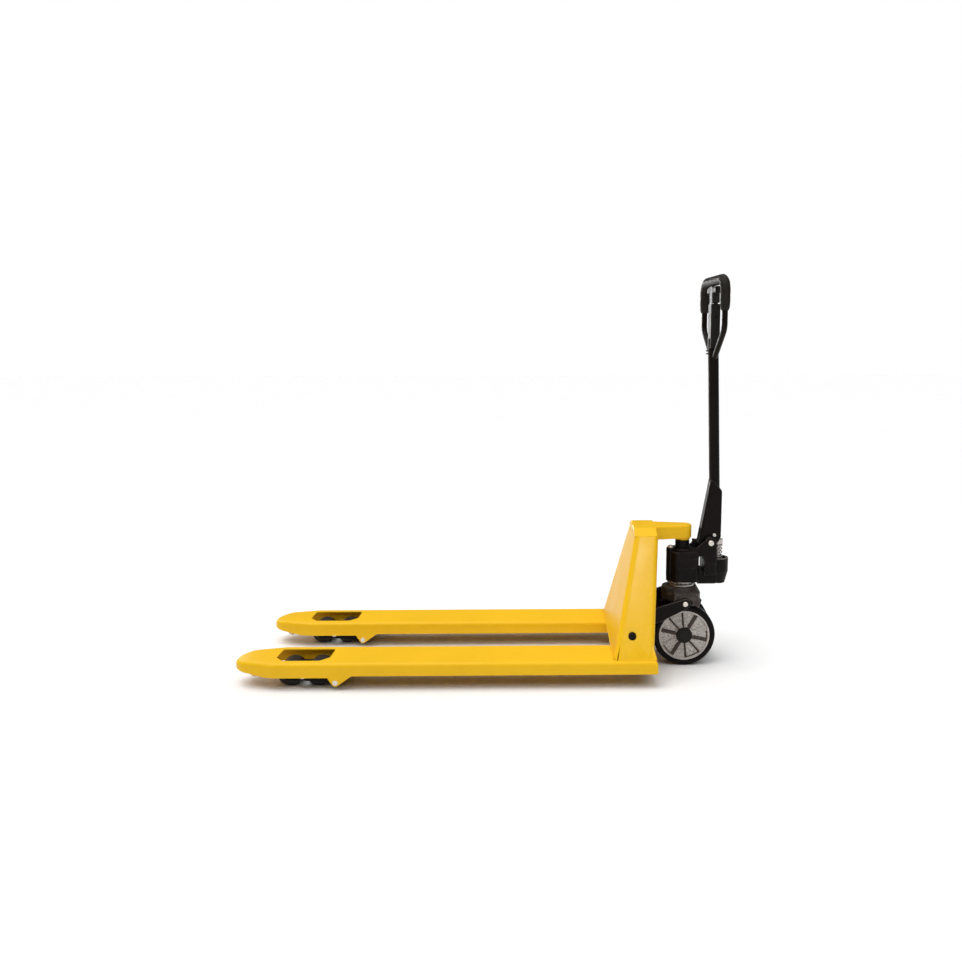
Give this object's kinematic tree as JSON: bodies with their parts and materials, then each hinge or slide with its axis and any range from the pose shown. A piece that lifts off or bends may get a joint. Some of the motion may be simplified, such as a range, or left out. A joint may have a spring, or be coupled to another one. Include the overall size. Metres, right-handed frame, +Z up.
{
  "type": "hand pallet truck",
  "caption": "Hand pallet truck with tandem load rollers, twin steering wheels, a foot-height hydraulic pump and a loop handle that steers, pumps and lowers.",
  "frame": {"origin": "on the floor, midway between the fork tips and the pump's far end and midway between the forks", "axes": "+X from the fork tips towards the handle, +Y to the operator's right when facing the forks, +Z up"},
  "size_m": [1.546, 0.55, 1.2385],
  "materials": {
    "yellow_paint": "semi-gloss powder coat",
    "zinc_steel": "zinc plated",
    "black_paint": "semi-gloss black",
    "black_oxide": "blackened steel",
    "bearing_steel": "ground steel",
    "spring_steel": "oiled spring steel",
    "black_casting": "black painted casting",
    "grey_casting": "dark grey painted casting",
    "wheel_aluminium": "as-cast, machined face",
    "wheel_tread": "polyurethane tread",
    "roller_tread": "polyurethane on a steel core",
    "entry_nylon": "natural nylon",
    "hub_plastic": "moulded plastic",
    "grip_rubber": "moulded rubber"
  },
  "bodies": {
    "chassis": {"fork_left": "yellow_paint", "fork_right": "yellow_paint", "fork_stiffeners": "yellow_paint", "entry_roller_tabs": "yellow_paint", "fork_shafts": "zinc_steel", "load_face": "yellow_paint", "side_plate_left": "yellow_paint", "side_plate_right": "yellow_paint", "cross_member": "yellow_paint", "head_beam": "yellow_paint", "ram_socket": "yellow_paint", "lift_ram": "black_oxide", "ram_ball": "bearing_steel", "rocker_shafts": "black_oxide"},
    "rocker": {"torsion_tube": "black_paint", "rocker_levers": "black_paint", "rocker_pins": "zinc_steel"},
    "yoke": {"yoke": "grey_casting", "thrust_race": "bearing_steel"},
    "steering": {"pump_body": "black_casting", "oil_plug": "zinc_steel", "ram_gland": "black_oxide", "thrust_bearing": "bearing_steel", "steering_axle": "bearing_steel", "handle_pivot_pin": "zinc_steel", "plunger_spring": "spring_steel"},
    "plunger": {"plunger": "bearing_steel"},
    "release_arm": {"release_arm": "black_paint"},
    "handle": {"handle_base": "black_paint", "handle_tube": "black_paint", "handle_loop": "black_paint", "handle_grip": "grip_rubber", "control_housing": "hub_plastic", "pump_roller_pin": "zinc_steel"},
    "pump_roller": {"pump_roller": "bearing_steel"},
    "release_lever": {"release_lever": "hub_plastic"},
    "release_linkage": {"release_linkage": "zinc_steel"},
    "entry_roller_left": {"entry_roller_left": "entry_nylon"},
    "wheel_frame_left": {"wheel_frame_left": "black_paint", "wheel_frame_pins_left": "zinc_steel"},
    "push_rod_left": {"push_rod_left": "black_paint"},
    "bogie_left": {"bogie_plates_left": "black_paint", "roller_axles_left": "zinc_steel"},
    "steer_wheel_left": {"wheel_rim_left": "wheel_aluminium", "wheel_tyre_left": "wheel_tread", "hub_cap_left": "hub_plastic"},
    "load_roller_front_left": {"load_roller_front_left": "roller_tread"},
    "load_roller_rear_left": {"load_roller_rear_left": "roller_tread"},
    "entry_roller_right": {"entry_roller_right": "entry_nylon"},
    "wheel_frame_right": {"wheel_frame_right": "black_paint", "wheel_frame_pins_right": "zinc_steel"},
    "push_rod_right": {"push_rod_right": "black_paint"},
    "bogie_right": {"bogie_plates_right": "black_paint", "roller_axles_right": "zinc_steel"},
    "steer_wheel_right": {"wheel_rim_right": "wheel_aluminium", "wheel_tyre_right": "wheel_tread", "hub_cap_right": "hub_plastic"},
    "load_roller_front_right": {"load_roller_front_right": "roller_tread"},
    "load_roller_rear_right": {"load_roller_rear_right": "roller_tread"}
  },
  "joints": [
    {"name": "lift", "type": "slide", "parent": "chassis", "child": "yoke", "axis": [0, 0, -1], "range_m": [0, 0.115]},
    {"name": "rocker_swing", "type": "hinge", "parent": "chassis", "child": "rocker", "pos_m": [0.44, 0, 0.15], "axis": [0, 1, 0], "range_deg": [0, 35.31]},
    {"name": "steer", "type": "hinge", "parent": "yoke", "child": "steering", "pos_m": [0.622, 0, 0.1], "axis": [0, 0, 1], "range_deg": [-90, 90]},
    {"name": "handle_tilt", "type": "hinge", "parent": "steering", "child": "handle", "pos_m": [0.708, 0, 0.396], "axis": [0, 1, 0], "range_deg": [0, 75], "stiffness_Nm_per_rad": 20, "springref_deg": -20.05},
    {"name": "plunger_stroke", "type": "slide", "parent": "steering", "child": "plunger", "axis": [0, 0, -1], "range_m": [0, 0.02993], "deforming": ["plunger_spring"]},
    {"name": "pump_roller_spin", "type": "hinge", "parent": "handle", "child": "pump_roller", "pos_m": [0.722, 0, 0.418], "axis": [0, 1, 0], "continuous": true},
    {"name": "release_lever_rock", "type": "hinge", "parent": "handle", "child": "release_lever", "pos_m": [0.70928, 0, 1.134], "axis": [-0.1045, 0.9945, 0], "range_deg": [-12, 12]},
    {"name": "release_linkage_pull", "type": "slide", "parent": "handle", "child": "release_linkage", "axis": [-0.0328, 0, 0.9995], "range_m": [-0.0086, 0.0086]},
    {"name": "release_arm_rock", "type": "hinge", "parent": "steering", "child": "release_arm", "pos_m": [0.694, 0, 0.378], "axis": [0, 1, 0], "range_deg": [-5.05, 5.05]},
    {"name": "entry_roller_left_spin", "type": "hinge", "parent": "chassis", "child": "entry_roller_left", "pos_m": [-0.712, -0.195, 0.041], "axis": [0, 1, 0], "continuous": true},
    {"name": "wheel_frame_left_swing", "type": "hinge", "parent": "chassis", "child": "wheel_frame_left", "pos_m": [-0.4555, -0.195, 0.024], "axis": [0, -1, 0], "range_deg": [0, 81.7]},
    {"name": "push_rod_left_level", "type": "hinge", "parent": "wheel_frame_left", "child": "push_rod_left", "pos_m": [-0.42983, -0.195, 0.05686], "axis": [0, 1, 0], "range_deg": [0, 81.7]},
    {"name": "bogie_left_level", "type": "hinge", "parent": "wheel_frame_left", "child": "bogie_left", "pos_m": [-0.5605, -0.195, 0.037], "axis": [0, 1, 0], "range_deg": [0, 81.7]},
    {"name": "steer_wheel_left_spin", "type": "hinge", "parent": "steering", "child": "steer_wheel_left", "pos_m": [0.622, -0.056, 0.1], "axis": [0, 1, 0], "continuous": true},
    {"name": "load_roller_front_left_spin", "type": "hinge", "parent": "bogie_left", "child": "load_roller_front_left", "pos_m": [-0.6035, -0.195, 0.037], "axis": [0, 1, 0], "continuous": true},
    {"name": "load_roller_rear_left_spin", "type": "hinge", "parent": "bogie_left", "child": "load_roller_rear_left", "pos_m": [-0.5175, -0.195, 0.037], "axis": [0, 1, 0], "continuous": true},
    {"name": "entry_roller_right_spin", "type": "hinge", "parent": "chassis", "child": "entry_roller_right", "pos_m": [-0.712, 0.195, 0.041], "axis": [0, 1, 0], "continuous": true},
    {"name": "wheel_frame_right_swing", "type": "hinge", "parent": "chassis", "child": "wheel_frame_right", "pos_m": [-0.4555, 0.195, 0.024], "axis": [0, -1, 0], "range_deg": [0, 81.7]},
    {"name": "push_rod_right_level", "type": "hinge", "parent": "wheel_frame_right", "child": "push_rod_right", "pos_m": [-0.42983, 0.195, 0.05686], "axis": [0, 1, 0], "range_deg": [0, 81.7]},
    {"name": "bogie_right_level", "type": "hinge", "parent": "wheel_frame_right", "child": "bogie_right", "pos_m": [-0.5605, 0.195, 0.037], "axis": [0, 1, 0], "range_deg": [0, 81.7]},
    {"name": "steer_wheel_right_spin", "type": "hinge", "parent": "steering", "child": "steer_wheel_right", "pos_m": [0.622, 0.056, 0.1], "axis": [0, 1, 0], "continuous": true},
    {"name": "load_roller_front_right_spin", "type": "hinge", "parent": "bogie_right", "child": "load_roller_front_right", "pos_m": [-0.6035, 0.195, 0.037], "axis": [0, 1, 0], "continuous": true},
    {"name": "load_roller_rear_right_spin", "type": "hinge", "parent": "bogie_right", "child": "load_roller_rear_right", "pos_m": [-0.5175, 0.195, 0.037], "axis": [0, 1, 0], "continuous": true}
  ],
  "couplings": [
    {"joint": "rocker_swing", "follows": "lift", "rad_per_m": 5.3514},
    {"joint": "plunger_stroke", "follows": "handle_tilt", "m_per_rad": 0.022788},
    {"joint": "release_linkage_pull", "follows": "release_lever_rock", "m_per_rad": 0.040107},
    {"joint": "release_arm_rock", "follows": "release_lever_rock", "ratio": 0.41667},
    {"joint": "wheel_frame_left_swing", "follows": "lift", "rad_per_m": 12.392},
    {"joint": "push_rod_left_level", "follows": "lift", "rad_per_m": 12.392},
    {"joint": "bogie_left_level", "follows": "lift", "rad_per_m": 12.392},
    {"joint": "wheel_frame_right_swing", "follows": "lift", "rad_per_m": 12.392},
    {"joint": "push_rod_right_level", "follows": "lift", "rad_per_m": 12.392},
    {"joint": "bogie_right_level", "follows": "lift", "rad_per_m": 12.392}
  ]
}
